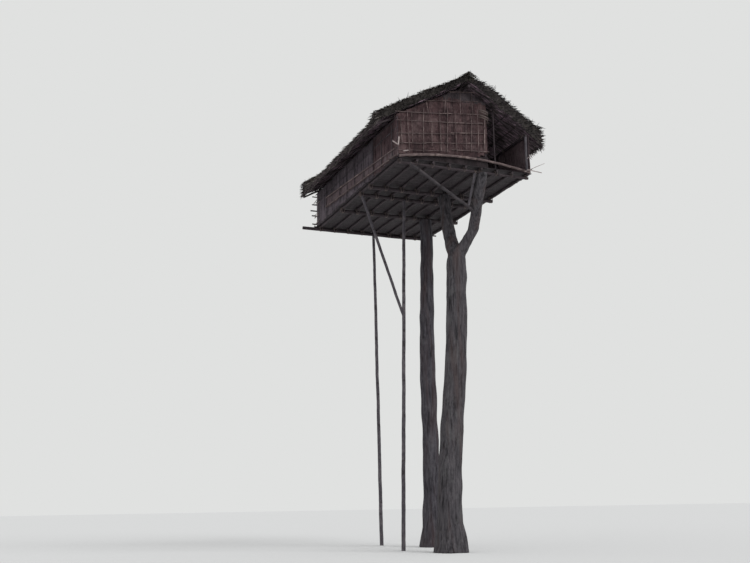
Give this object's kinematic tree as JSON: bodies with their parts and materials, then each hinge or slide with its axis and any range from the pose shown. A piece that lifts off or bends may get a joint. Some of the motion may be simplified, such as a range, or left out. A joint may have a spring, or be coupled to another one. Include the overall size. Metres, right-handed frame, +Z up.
{
  "type": "tree house",
  "caption": "Gabled bark and thatch hut on a pole floor, carried high above the ground on a forked trunk, a second trunk, long posts and braces.",
  "frame": {"origin": "on the ground, under the middle of the hut's floor and of its roof", "axes": "+Z up, -Y towards the front gable with the opening, +X to the right as seen from the front"},
  "size_m": [6.44, 9.3998, 15.803],
  "materials": {
    "trunks": "rough living bark, grey brown",
    "poles": "round poles, weathered grey",
    "bark_walls": "flattened bark sheets, reddish brown",
    "floor_slats": "split palm slats, dark",
    "thatch": "sewn courses of dry palm leaf, grey brown, loose and light"
  },
  "bodies": {
    "root": {"back_bearer": "poles", "back_gable": "bark_walls", "back_left_post": "poles", "back_post": "poles", "back_ridge_post": "poles", "back_right_post": "poles", "back_wall": "bark_walls", "corner_brace": "poles", "door_post": "poles", "floor_deck": "floor_slats", "floor_joists": "poles", "front_bearer": "poles", "front_gable": "bark_walls", "front_left_post": "poles", "front_limb": "trunks", "front_rail": "poles", "front_ridge_post": "poles", "front_right_post": "poles", "front_strut": "poles", "front_wall": "bark_walls", "left_battens": "poles", "left_rafters": "poles", "left_studs": "poles", "left_thatch": "thatch", "left_wall": "bark_walls", "left_wall_plate": "poles", "limb_bearer": "poles", "main_trunk": "trunks", "middle_bearer": "poles", "middle_limb": "trunks", "middle_post": "poles", "middle_ridge_post": "poles", "opening_pole": "poles", "rear_bearer": "poles", "rear_trunk": "trunks", "ridge_cap": "thatch", "ridge_pole": "poles", "right_battens": "poles", "right_rafters": "poles", "right_studs": "poles", "right_thatch": "thatch", "right_wall": "bark_walls", "right_wall_plate": "poles", "side_brace": "poles"}
  },
  "joints": []
}
